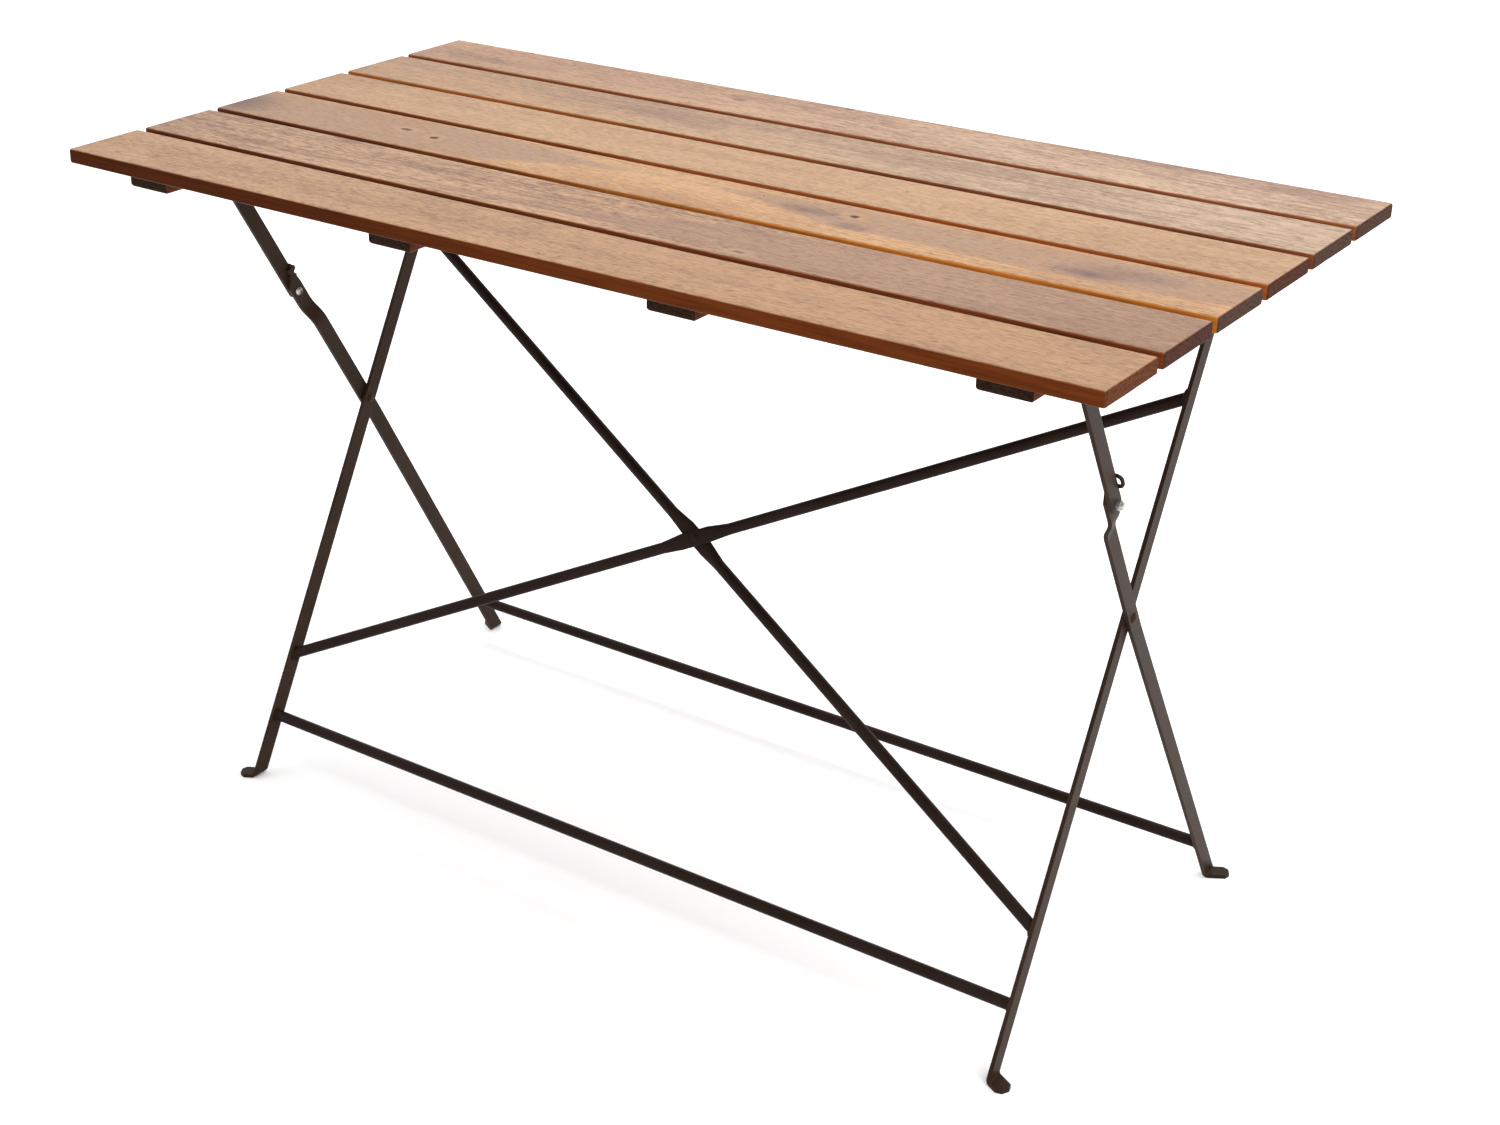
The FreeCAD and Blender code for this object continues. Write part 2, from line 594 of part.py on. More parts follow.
def build_pairs():
    """Everything that sits alike on the left and on the right of the frame."""
    makers = {
        "inner_leg": inner_leg,
        "cross_washer": cross_washer,
        "cross_rivet": cross_rivet,
        "outer_leg": outer_leg,
        "knuckle_bolt": knuckle_bolt,
        "strut": strut,
        "knuckle_nut": knuckle_nut,
    }
    nodes = {}
    for name, make in makers.items():
        shape = make()
        nodes[name + "_right"] = shape
        nodes[name + "_left"] = mirrored(shape)
    return nodes


def build_rods(pairs):
    inner_legs = [pairs["inner_leg_left"], pairs["inner_leg_right"]]
    outer_legs = [pairs["outer_leg_left"], pairs["outer_leg_right"]]
    return {
        "inner_stretcher": stretcher(INNER_LEAN, INNER_STRETCHER_HEIGHT, INNER_LEG_X, inner_legs),
        "outer_stretcher": stretcher(OUTER_LEAN, OUTER_STRETCHER_HEIGHT, OUTER_FOOT_X, outer_legs),
        "brace_rising": brace(1, inner_legs),
        "brace_falling": brace(-1, inner_legs),
        "brace_rivet": brace_rivet(),
    }


def main():
    os.makedirs("parts", exist_ok=True)
    nodes = build_top()
    pairs = build_pairs()
    nodes.update(pairs)
    nodes.update(build_rods(pairs))
    for name, shape in nodes.items():
        shape.exportStep("parts/%s.step" % name)


main()
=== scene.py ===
# Folding picnic table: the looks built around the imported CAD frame. Units are metres.
import json
import math
from collections import namedtuple

import bmesh
import bpy
from mathutils import Euler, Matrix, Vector, noise


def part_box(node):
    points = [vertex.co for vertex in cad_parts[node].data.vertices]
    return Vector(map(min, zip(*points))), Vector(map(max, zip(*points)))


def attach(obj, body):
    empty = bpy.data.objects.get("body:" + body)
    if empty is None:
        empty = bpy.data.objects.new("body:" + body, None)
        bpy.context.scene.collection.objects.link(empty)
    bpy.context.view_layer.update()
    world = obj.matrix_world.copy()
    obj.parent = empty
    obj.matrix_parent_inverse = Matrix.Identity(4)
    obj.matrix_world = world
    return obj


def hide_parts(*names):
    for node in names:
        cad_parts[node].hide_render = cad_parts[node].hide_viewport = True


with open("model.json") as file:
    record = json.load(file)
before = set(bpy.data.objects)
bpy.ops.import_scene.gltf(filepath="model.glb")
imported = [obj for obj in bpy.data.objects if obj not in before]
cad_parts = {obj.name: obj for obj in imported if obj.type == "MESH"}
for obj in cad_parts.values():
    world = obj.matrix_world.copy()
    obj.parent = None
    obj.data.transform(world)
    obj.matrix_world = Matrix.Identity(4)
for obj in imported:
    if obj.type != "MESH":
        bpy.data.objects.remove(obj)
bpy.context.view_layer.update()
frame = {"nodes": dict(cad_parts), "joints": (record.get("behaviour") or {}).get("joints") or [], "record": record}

NODES = frame["nodes"]
JOINTS = {joint["name"]: joint for joint in frame["joints"]}
SIDES = {"left": -1, "right": 1}

# ---- camera ----
CAMERA_PLACE = (1.2456, -1.8160, 1.3592)
CAMERA_TURN = (66.448, -0.135, 35.924)
CAMERA_LENS = 56.74
CAMERA_SHIFT = (0.0667, -0.0484)
CAMERA_REACH = 200

# ---- light: the studio's brightness by direction, and softboxes with their place, size and power ----
BRIGHT_SIDE = Vector((0.30, 0.15, 0.94)).normalized()
WORLD_DIM = 0.55
WORLD_BRIGHT = 1.60
DIM_UP_TO = -0.7
BRIGHT_FROM = 0.9
LIGHT_TARGET = (0, 0, 0.45)
SOFTBOXES = {
    "key_above": ((0.7, 0.5, 3.0), (2.6, 2.2), 44),
    "fill_right": ((3.4, 0.2, 1.5), (1.6, 2.0), 9),
}

# ---- floor ----
FLOOR_RADIUS = 60
FLOOR_SIDES = 96
FLOOR_ROUGHNESS = 0.8

# ---- shape of the boards ----
BATTEN_COUNT = 4
BATTEN_SEED = 20
EDGE_RADIUS = 0.0022
EDGE_WEAR = 0.0009
EDGE_STEPS = 4
GRID_ALONG = 0.009
GRID_ACROSS = 0.0045
GRID_CLOSEST = 0.0001
KNOT_LINES = 5               # grid lines on each side of a knot's middle
KNOT_LINE_STEP = 0.25        # of its half size
KNOT_DEPTH = 0.0009
KNOT_STEEPNESS = 1.4
WEAR_WAVES = (9, 40)
SURFACE_WAVES = (11, 55)
SURFACE_SEED = 9
WAVE_DEPTH = 0.00012

# ---- wood: how often a pattern repeats in a metre, along the grain and in both directions across it ----
SLOW = (2.2, 16, 16)
FIBRE = (13, 330, 330)
STRAND = (60, 680, 680)
STIPPLE = (130, 330, 330)
MOTTLE = (28, 60, 60)
PORES = (95, 1000, 1000)
PITH_WANDER = (1.9, 3, 3)
END_SPECKS = (420, 420, 420)
BOARD_OFFSET = (1.7, 0.37, 0.83)     # in metres, from one board's part of the patterns to the next one's

# ---- wood: growth rings ----
RING_SPACING = 0.0048
RING_TAPER = 0.011
RING_WAVES = 0.012
RING_BULGE = 2.2             # how far a knot pushes the rings, in its half widths
PITH_SHIFT = 0.05

# ---- wood: how much each pattern does ----
SLOW_SHARE = 2.0
FIBRE_SHARE = 1.5
STRAND_SHARE = 3.1
STIPPLE_SHARE = 1.8
MOTTLE_SHARE = 0.9
RING_SHARE = 0.42
PORE_SHARE = 0.52
BASE_TONE = 0.36
HEART_SHARE = 0.82
HALO_SHARE = 0.35
# how strongly painted shade darkens the undersides
UNDERSIDE_SHADE_SHARE = 0.85
RELIEF_HEIGHT = 0.0004
RELIEF_STRENGTH = 0.35
SHEEN = 0.20
SHEEN_LOST = 0.19            # on sawn edges and ends

# ---- metal ----
BAR_TONES = (0.0192, 0.0098, 0.0054), (0.0304, 0.0166, 0.0098)
# The rods get a darker copy of the bar coat: painted shade, as the round bars in the same coat look darker than
# the flat bars.
SHADED_ROD_TONES = (0.0105, 0.0052, 0.0038), (0.0165, 0.0092, 0.0068)
ZINC_TONES = (0.34, 0.335, 0.32), (0.60, 0.59, 0.565)
WARM_SHEEN = (1.0, 0.80, 0.72, 1.0)
COAT_SHEEN = 0.088
COAT_CLOUDS = (14, 14, 14)
COAT_GRAIN = (900, 900, 900)
COAT_EDGE = 0.0009
ZINC_CLOUDS = (400, 400, 400)
ZINC_MARKS = (4000, 300, 300)
ZINC_EDGE = 0.0004
EDGE_SAMPLES = 4
RODS = ("inner_stretcher", "outer_stretcher", "brace_rising", "brace_falling", "brace_rivet")

# ---- welds ----
ROD_RADIUS = 0.006
WELD_RADIUS = 0.0016
WELD_LENGTHENING = 1.7
WELD_LIFT = 0.0002
WELD_TURNS = 48
WELD_SIDES = 12
WELD_RIPPLES = 13
WELD_RIPPLE_DEPTH = 0.10
WELD_UNEVENNESS = 0.08


# ======== node trees ========

class Tree:
    """The nodes of one material. A value given to a node is a number, a tuple or another node's output."""

    def __init__(self, name):
        self.material = bpy.data.materials.new(name)
        self.material.use_nodes = True
        self.tree = self.material.node_tree
        self.tree.nodes.clear()
        self.coordinates = self.node("TexCoord")

    def put(self, socket, value):
        if isinstance(value, bpy.types.NodeSocket):
            self.tree.links.new(value, socket)
        elif value is not None:
            socket.default_value = value

    def node(self, kind, *values, **settings):
        made = self.tree.nodes.new("ShaderNode" + kind)
        for setting, value in settings.items():
            setattr(made, setting, value)
        for socket, value in zip(made.inputs, values):
            self.put(socket, value)
        return made

    def math(self, operation, *values):
        return self.node("Math", *values, operation=operation).outputs[0]

    def centred(self, value, share, base):
        """base, plus a share of how far a pattern's value is from one half."""
        return self.math("MULTIPLY_ADD", self.math("SUBTRACT", value, 0.5), share, base)

    def vector(self, operation, *values):
        return self.node("VectorMath", *values, operation=operation).outputs[0]

    def length(self, x, y, z):
        return self.node("VectorMath", self.join(x, y, z), operation="LENGTH").outputs["Value"]

    def split(self, vector):
        return self.node("SeparateXYZ", vector).outputs

    def join(self, x, y, z):
        return self.node("CombineXYZ", x, y, z).outputs[0]

    def mix(self, share, first, second, blend="MIX"):
        made = self.node("Mix", share, data_type="RGBA", blend_type=blend)
        self.put(made.inputs[6], first)
        self.put(made.inputs[7], second)
        return made.outputs[2]

    def fade(self, value, start, end, low=0.0, high=1.0):
        return self.node("MapRange", value, start, end, low, high, interpolation_type="SMOOTHSTEP").outputs[0]

    def noise(self, place, stretch, detail=2.0, roughness=0.5):
        made = self.node("TexNoise", self.vector("MULTIPLY", place, stretch))
        self.put(made.inputs["Scale"], 1.0)
        self.put(made.inputs["Detail"], detail)
        self.put(made.inputs["Roughness"], roughness)
        return made.outputs[0]

    def outline(self, value, points):
        """A smooth curve through a few (position, height) points."""
        made = self.node("FloatCurve", 1.0, value)
        curve = made.mapping.curves[0]
        curve.points[0].location = points[0]
        curve.points[-1].location = points[-1]
        for point in points[1:-1]:
            curve.points.new(*point)
        made.mapping.update()
        return made.outputs[0]

    def finish(self, base, roughness, normal, metallic=0.0, **more):
        shader = self.node("BsdfPrincipled")
        for socket, value in {"Base Color": base, "Roughness": roughness, "Normal": normal,
                              "Metallic": metallic, **more}.items():
            self.put(shader.inputs[socket.replace("_", " ")], value)
        self.node("OutputMaterial", shader.outputs[0])
        return self.material


def colour(red, green, blue):
    return (red, green, blue, 1.0)


# ======== wood ========

# A knot or a dark mark, with along and across as shares of the board's length and width.
Spot = namedtuple("Spot", "along across half_length half_width strength")


class Look:
    """How one board looks: its colours, the outline of its heartwood, and its knots and dark marks.

    The outline of the heartwood is given by its low and high borders, as (along, across) points, both as
    shares of the board's length and width. The pith is where the growth rings have their middle, as a
    distance across from the board's middle and a height over its upper face.
    """

    def __init__(self, pale, dark, edge, shaded_edge_end, end, right=None, heart=None, low=None, high=None,
                 knots=(), marks=(), streaks=1.0, rings=0.5, pith=(0.0, -0.05)):
        self.pale = pale
        self.right = right or pale
        self.dark = dark
        self.edge = edge
        self.shaded_edge_end = shaded_edge_end
        self.end = end
        self.heart = heart
        self.low = low
        self.high = high
        self.knots = knots
        self.marks = marks
        self.streaks = streaks
        self.rings = rings
        self.pith = pith


PLUM = colour(0.120, 0.066, 0.053)
KNOT_CORE = colour(0.035, 0.018, 0.012)
# Each look's edge and edge-end colours are darker than the wood alone: painted shade on the sawn sides and in the
# gaps between the boards, on top of the oiled edges' own colour.
SLAT_LOOKS = [
    Look(
        pale=colour(0.346, 0.202, 0.109),
        right=colour(0.321, 0.178, 0.089),
        dark=colour(0.215, 0.117, 0.061),
        edge=colour(0.054, 0.0125, 0.0035),
        shaded_edge_end=colour(0.100, 0.0235, 0.0055),
        end=colour(0.092, 0.029, 0.012),
        knots=[Spot(0.787, 0.56, 0.0075, 0.0030, 0.35)],
        marks=[
            Spot(0.175, 0.50, 0.012, 0.004, 0.35),
            Spot(0.220, 0.50, 0.008, 0.003, 0.40),
            Spot(0.417, 0.47, 0.012, 0.005, 0.35),
            Spot(0.805, 0.50, 0.020, 0.004, 0.35),
            Spot(0.965, 0.48, 0.005, 0.003, 0.45),
        ],
        streaks=0.7,
        rings=0.25,
        pith=(0.01, -0.09),
    ),
    Look(
        pale=colour(0.372, 0.227, 0.131),
        right=colour(0.349, 0.201, 0.107),
        dark=colour(0.181, 0.096, 0.056),
        edge=colour(0.10, 0.026, 0.010),
        shaded_edge_end=colour(0.15, 0.036, 0.010),
        end=colour(0.056, 0.020, 0.014),
        heart=colour(0.240, 0.140, 0.088),
        low=[(0, 0), (0.5, 0.1), (0.6, 0), (1, 0)],
        high=[(0, 0.05), (0.45, 0.35), (0.6, 0.8), (0.75, 1), (1, 1)],
        knots=[Spot(0.641, 0.17, 0.0060, 0.0028, 0.50)],
        marks=[
            Spot(0.01, 0.45, 0.050, 0.030, 0.30),
            Spot(0.62, 0.80, 0.030, 0.012, 0.30),
        ],
        streaks=1.5,
        rings=0.6,
        pith=(-0.02, -0.03),
    ),
    Look(
        pale=colour(0.406, 0.234, 0.110),
        dark=colour(0.277, 0.145, 0.070),
        edge=colour(0.10, 0.026, 0.012),
        shaded_edge_end=colour(0.40, 0.130, 0.018),
        end=colour(0.056, 0.029, 0.021),
        heart=colour(0.236, 0.152, 0.104),
        low=[(0, 0), (0.28, 0), (0.33, 0.18), (0.42, 0.52), (0.50, 0.62), (0.58, 0.50), (0.66, 0.28),
             (0.80, 0.22), (0.90, 0.20), (1, 0.32)],
        high=[(0, 0.97), (0.26, 0.96), (0.36, 0.84), (0.45, 0.68), (0.53, 0.72), (0.60, 0.90),
              (0.72, 0.93), (1, 0.97)],
        knots=[
            Spot(0.196, 0.56, 0.0075, 0.0035, 0.85),
            Spot(0.235, 0.48, 0.0050, 0.0045, 1.0),
            Spot(0.664, 0.69, 0.0055, 0.0042, 1.0),
            Spot(0.573, 0.76, 0.0016, 0.0012, 0.9),
        ],
        marks=[
            Spot(0.0, 0.35, 0.048, 0.040, 0.95),
            Spot(0.625, 0.60, 0.035, 0.012, 0.70),
            Spot(0.675, 0.36, 0.022, 0.010, 0.60),
            Spot(0.88, 0.42, 0.032, 0.013, 0.80),
            Spot(0.885, 0.40, 0.008, 0.006, 0.75),
            Spot(0.91, 0.62, 0.045, 0.016, 0.55),
        ],
        streaks=0.8,
        rings=0.8,
        pith=(0.02, -0.04),
    ),
    Look(
        pale=colour(0.363, 0.219, 0.119),
        dark=colour(0.253, 0.142, 0.075),
        edge=colour(0.15, 0.040, 0.011),
        shaded_edge_end=colour(0.25, 0.070, 0.016),
        end=colour(0.056, 0.019, 0.011),
        marks=[Spot(0.07, 0.98, 0.020, 0.006, 0.45)],
        streaks=0.8,
        rings=0.3,
        pith=(-0.01, -0.10),
    ),
    Look(
        pale=colour(0.348, 0.202, 0.106),
        right=colour(0.378, 0.265, 0.176),
        dark=colour(0.217, 0.132, 0.082),
        edge=colour(0.28, 0.088, 0.018),
        shaded_edge_end=colour(0.16, 0.048, 0.018),
        end=colour(0.054, 0.028, 0.019),
        marks=[
            Spot(0.35, 0.55, 0.050, 0.018, 0.40),
            Spot(0.40, 0.42, 0.035, 0.012, 0.35),
            Spot(0.62, 0.45, 0.045, 0.010, 0.30),
            Spot(0.80, 0.20, 0.080, 0.008, 0.40),
        ],
        streaks=1.2,
        rings=0.5,
        pith=(0.02, -0.05),
    ),
    Look(
        pale=colour(0.352, 0.205, 0.118),
        right=colour(0.400, 0.274, 0.182),
        dark=colour(0.220, 0.125, 0.081),
        edge=colour(0.17, 0.050, 0.018),
        shaded_edge_end=colour(0.22, 0.070, 0.024),
        end=colour(0.054, 0.026, 0.018),
        knots=[
            Spot(0.378, 0.55, 0.0080, 0.0045, 0.45),
            Spot(0.482, 0.93, 0.0060, 0.0035, 0.5),
        ],
        marks=[
            Spot(0.37, 0.64, 0.014, 0.007, 0.55),
            Spot(0.47, 0.95, 0.030, 0.008, 0.55),
            Spot(0.08, 0.35, 0.060, 0.010, 0.35),
            Spot(0.78, 0.90, 0.110, 0.008, 0.50),
            Spot(0.93, 0.75, 0.060, 0.014, 0.40),
        ],
        streaks=1.3,
        rings=0.6,
        pith=(-0.02, -0.04),
    ),
]
# The battens are darker than the boards: their wood's own tone with painted shade for their place under the top.
BATTEN_LOOK_WITH_SHADE = Look(
    pale=colour(0.24, 0.105, 0.052),
    dark=colour(0.12, 0.048, 0.024),
    edge=colour(0.10, 0.030, 0.014),
    shaded_edge_end=colour(0.10, 0.030, 0.014),
    end=colour(0.026, 0.0135, 0.0085),
    streaks=1.0,
    rings=0.6,
)


class Wood(Tree):
    """Oiled hardwood as a solid pattern: growth rings round a pith, fibres and pores along the grain."""

    def __init__(self, name, look, low, high, seed, across_table=False):
        super().__init__(name)
        x, y, z = self.split(self.coordinates.outputs["Object"])
        face_x, face_y, face_z = self.split(self.coordinates.outputs["Normal"])
        if across_table:
            x, y, face_x, face_y = y, x, face_y, face_x
            low = Vector((low.y, low.x, low.z))
            high = Vector((high.y, high.x, high.z))
        self.look = look
        self.low = low
        self.high = high
        self.x = x
        self.y = y
        self.z = z
        self.along = self.math("DIVIDE", self.math("SUBTRACT", x, low.x), high.x - low.x)
        self.across = self.math("DIVIDE", self.math("SUBTRACT", y, low.y), high.y - low.y)
        self.side = self.fade(self.math("ABSOLUTE", face_y), 0.45, 0.88)
        self.end = self.fade(self.math("ABSOLUTE", face_x), 0.25, 0.80)
        # painted shade: the undersides are darkened by multiplying in the edge-end colour
        self.underside_painted_shade = self.fade(face_z, -0.4, -0.9, 0.0, UNDERSIDE_SHADE_SHARE)

        self.place = self.vector("ADD", self.join(x, y, z), tuple(step * seed for step in BOARD_OFFSET))
        self.slow = self.noise(self.place, SLOW, 3.0)
        self.fibre = self.noise(self.place, FIBRE, 4.0, 0.58)
        self.strand = self.noise(self.place, STRAND, 4.0, 0.66)
        self.stipple = self.noise(self.place, STIPPLE, 3.0, 0.62)
        self.mottle = self.noise(self.place, MOTTLE, 2.0)
        self.pores = self.fade(self.noise(self.place, PORES, 1.0), 0.57, 0.64)
        self.knots = [(self.depth_in(knot), knot) for knot in look.knots]
        self.ring = self.growth_ring()

    def depth_in(self, spot):
        """How deep a place lies in a knot or mark: 0 at its centre, 1 at its rim, more outside."""
        centre_x = self.low.x + spot.along * (self.high.x - self.low.x)
        centre_y = self.low.y + spot.across * (self.high.y - self.low.y)
        x = self.math("DIVIDE", self.math("SUBTRACT", self.x, centre_x), spot.half_length)
        y = self.math("DIVIDE", self.math("SUBTRACT", self.y, centre_y), spot.half_width)
        return self.length(x, y, 0.0)

    def growth_ring(self):
        """Circles round a pith that wanders, wider apart where the log tapers, bent round each knot."""
        centre_y = (self.low.y + self.high.y) / 2 + self.look.pith[0]
        centre_z = self.high.z + self.look.pith[1]
        wander = self.noise(self.place, PITH_WANDER, 1.0)
        wander = self.math("MULTIPLY_ADD", wander, PITH_SHIFT, -PITH_SHIFT / 2)
        y = self.math("ADD", self.math("SUBTRACT", self.y, centre_y), wander)
        z = self.math("SUBTRACT", self.z, centre_z)
        taper = self.math("MULTIPLY_ADD", self.x, RING_TAPER, self.math("MULTIPLY", self.slow, RING_WAVES))
        bulge = 0.0
        for depth, knot in self.knots:
            bulge = self.math("ADD", bulge, self.fade(depth, 6.0, 0.0, 0.0, RING_BULGE * knot.half_width))
        growth = self.math("ADD", self.math("ADD", self.length(0.0, y, z), taper), bulge)
        phase = self.math("FRACT", self.math("DIVIDE", growth, RING_SPACING))
        return self.math("MULTIPLY", self.fade(phase, 0.05, 0.85), self.fade(phase, 1.0, 0.90))

    def planed_face(self):
        """The colour of the faces along the grain, with heartwood, dark marks, knots and pores."""
        tone = self.math("MULTIPLY_ADD", self.ring, RING_SHARE * self.look.rings, BASE_TONE)
        tone = self.centred(self.slow, SLOW_SHARE, tone)
        tone = self.centred(self.fibre, FIBRE_SHARE * self.look.streaks, tone)
        tone = self.centred(self.strand, STRAND_SHARE, tone)
        tone = self.centred(self.stipple, STIPPLE_SHARE, tone)
        tone = self.centred(self.mottle, MOTTLE_SHARE, tone)
        tone = self.node("Clamp", tone).outputs[0]
        pale = self.mix(self.fade(self.along, 0.15, 0.90), self.look.pale, self.look.right)
        surface = self.mix(tone, pale, self.look.dark)
        if self.look.heart:
            surface = self.with_heart(surface, tone)
        rough_rim = self.math("MULTIPLY_ADD", self.fibre, 1.5, -0.75)
        for mark in self.look.marks:
            depth = self.math("ADD", self.depth_in(mark), rough_rim)
            surface = self.mix(self.fade(depth, 1.5, 0.1, 0.0, mark.strength), surface, PLUM)
        for depth, knot in self.knots:
            halo = self.math("MULTIPLY", self.fade(depth, 3.4, 1.6), self.fade(depth, 0.8, 1.4))
            surface = self.mix(self.math("MULTIPLY", halo, HALO_SHARE), surface, self.look.pale)
            core = self.fade(self.math("ADD", depth, rough_rim), 1.25, 0.6, 0.0, knot.strength)
            surface = self.mix(core, surface, KNOT_CORE)
        return self.mix(self.math("MULTIPLY", self.pores, PORE_SHARE), surface, self.look.dark, "MULTIPLY")

    def with_heart(self, surface, tone):
        """Heartwood between the look's low and high outlines, with a fibrous border."""
        waves = self.math("MULTIPLY_ADD", self.slow, 0.30, self.math("MULTIPLY_ADD", self.fibre, 0.22, -0.11))
        level = self.math("SUBTRACT", self.math("ADD", self.across, waves), 0.15)
        above = self.math("SUBTRACT", level, self.outline(self.along, self.look.low))
        below = self.math("SUBTRACT", self.outline(self.along, self.look.high), level)
        inside = self.math("MULTIPLY", self.fade(above, -0.05, 0.11), self.fade(below, -0.05, 0.11))
        heart = self.mix(self.math("MULTIPLY", tone, 0.75), self.look.heart, self.look.dark)
        return self.mix(self.math("MULTIPLY", inside, HEART_SHARE), surface, heart)

    def sawn_edge_with_painted_shade(self):
        """The colour of the sawn sides, darker and redder than the top: partly the oiled wood's own edge colour,
        partly painted shade on faces that get less light than the top, also in the gaps between the boards.
        """
        edge = self.mix(self.fade(self.along, 0.12, 0.75), self.look.edge, self.look.shaded_edge_end)
        return self.vector("SCALE", edge, None, None, self.math("MULTIPLY_ADD", self.fibre, 1.3, 0.35))

    def end_grain(self):
        """The sawn ends, with their rings and the cut fibres as specks."""
        shade = self.math("MULTIPLY_ADD", self.ring, -0.28, 1.12)
        shade = self.centred(self.noise(self.place, END_SPECKS, 3.0), 1.6, shade)
        return self.vector("SCALE", self.look.end[:3], None, None, shade)

    def build(self):
        # the sawn sides take the edge colours, which hold painted shade
        surface = self.mix(self.side, self.planed_face(), self.sawn_edge_with_painted_shade())
        surface = self.mix(self.end, surface, self.end_grain())
        # painted shade on the undersides
        surface = self.mix(self.underside_painted_shade, surface, self.look.shaded_edge_end, "MULTIPLY")
        relief = self.math("MULTIPLY_ADD", self.strand, 0.7, self.math("MULTIPLY", self.fibre, 0.9))
        relief = self.math("MULTIPLY_ADD", self.pores, -0.9, relief)
        relief = self.math("MULTIPLY_ADD", self.ring, 0.25, relief)
        bump = self.node("Bump", RELIEF_STRENGTH, RELIEF_HEIGHT, None, relief)
        roughness = self.math("MULTIPLY_ADD", self.fibre, 0.22, 0.36)
        sheen = self.math("MULTIPLY_ADD", self.math("MAXIMUM", self.side, self.end), -SHEEN_LOST, SHEEN)
        return self.finish(surface, roughness, bump.outputs[0], Specular_IOR_Level=sheen)


def grid_lines(low, high, spacing, extra=()):
    """Grid lines across a rounded board: a fan over each edge, even steps between, extra ones at knots."""
    radius = EDGE_RADIUS + EDGE_WEAR
    fan = [radius * math.tan(math.pi / 4 * step / EDGE_STEPS) for step in range(EDGE_STEPS + 1)]
    start = low + radius
    end = high - radius
    steps = max(1, round((end - start) / spacing))
    lines = [start - reach for reach in fan] + [end + reach for reach in fan]
    lines += [start + (end - start) * step / steps for step in range(1, steps)]
    lines += [line for line in extra if start < line < end]
    lines.sort()
    kept = [lines[0]]
    for line in lines[1:]:
        if line - kept[-1] > GRID_CLOSEST:
            kept.append(line)
    return kept


def knot_lines(low, high, spans):
    """Closer grid lines through each knot, from its (place, half size), so that its pit has a shape."""
    lines = []
    for place, half_size in spans:
        centre = low + place * (high - low)
        lines += [centre + half_size * step * KNOT_LINE_STEP for step in range(-KNOT_LINES, KNOT_LINES + 1)]
    return lines


def surface_cells(counts):
    """The corners, as grid indices, of every square on the outside of a grid of boxes."""
    for axis in range(3):
        first, second = (axis + 1) % 3, (axis + 2) % 3
        for end in (0, counts[axis] - 1):
            for i in range(counts[first] - 1):
                for j in range(counts[second] - 1):
                    ring = [(i, j), (i + 1, j), (i + 1, j + 1), (i, j + 1)]
                    if end == 0:
                        ring.reverse()
                    corners = []
                    for a, b in ring:
                        corner = [0, 0, 0]
                        corner[axis], corner[first], corner[second] = end, a, b
                        corners.append(tuple(corner))
                    yield corners


def unevenness(point, waves, seed):
    """A slow random value from about 0 to 1 along and across a board."""
    return 0.5 + 0.5 * noise.noise(Vector((point.x * waves[0], point.y * waves[1], seed)))


def pressed(point, low, high, look, seed):
    """A point of the sharp box, moved on to the rounded and slightly worn board."""
    radius = EDGE_RADIUS + EDGE_WEAR * unevenness(point, WEAR_WAVES, seed)
    core = Vector([min(max(point[k], low[k] + radius), high[k] - radius) for k in range(3)])
    outward = (point - core).normalized()
    depth = WAVE_DEPTH * unevenness(point, SURFACE_WAVES, seed + SURFACE_SEED)
    if outward.z > 0.5:
        for knot in look.knots:
            x = (point.x - low.x - knot.along * (high.x - low.x)) / knot.half_length
            y = (point.y - low.y - knot.across * (high.y - low.y)) / knot.half_width
            depth += KNOT_DEPTH * knot.strength * math.exp(-KNOT_STEEPNESS * (x * x + y * y))
    return core + outward * (radius - depth)


def board(name, node, look, seed):
    """One slat as a worn board, with rounded edges, a slightly uneven surface and pits at its knots."""
    low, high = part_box(node)
    knots_along = knot_lines(low.x, high.x, [(knot.along, knot.half_length) for knot in look.knots])
    knots_across = knot_lines(low.y, high.y, [(knot.across, knot.half_width) for knot in look.knots])
    lines = [grid_lines(low.x, high.x, GRID_ALONG, knots_along),
             grid_lines(low.y, high.y, GRID_ACROSS, knots_across),
             grid_lines(low.z, high.z, GRID_ACROSS)]
    mesh = bmesh.new()
    made = {}
    for corners in surface_cells([len(row) for row in lines]):
        for corner in corners:
            if corner not in made:
                point = Vector([lines[k][corner[k]] for k in range(3)])
                made[corner] = mesh.verts.new(pressed(point, low, high, look, seed))
        face = mesh.faces.new([made[corner] for corner in corners])
        face.smooth = True
    material = Wood("wood_" + name, look, low, high, seed).build()
    return piece_from(mesh, name, material, "top")


def thing_from(mesh, name, material):
    """An object in the scene from a bmesh, with one material."""
    data = bpy.data.meshes.new(name)
    mesh.to_mesh(data)
    mesh.free()
    data.materials.append(material)
    thing = bpy.data.objects.new(name, data)
    bpy.context.scene.collection.objects.link(thing)
    return thing


def piece_from(mesh, name, material, body):
    """A finished piece from a bmesh, riding on a body."""
    piece = thing_from(mesh, name, material)
    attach(piece, body)
    return piece


def make_boards():
    for number, look in enumerate(SLAT_LOOKS, 1):
        piece = board(f"board_{number}", f"slat_{number}", look, number)
        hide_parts(f"slat_{number}")


def paint_battens():
    for number in range(1, BATTEN_COUNT + 1):
        node = f"batten_{number}"
        low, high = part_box(node)
        wood = Wood("wood_" + node, BATTEN_LOOK_WITH_SHADE, low, high, BATTEN_SEED + number, across_table=True)
        set_material(NODES[node], wood.build())


def set_material(thing, material):
    thing.data.materials.clear()
    thing.data.materials.append(material)


# ======== metal ========

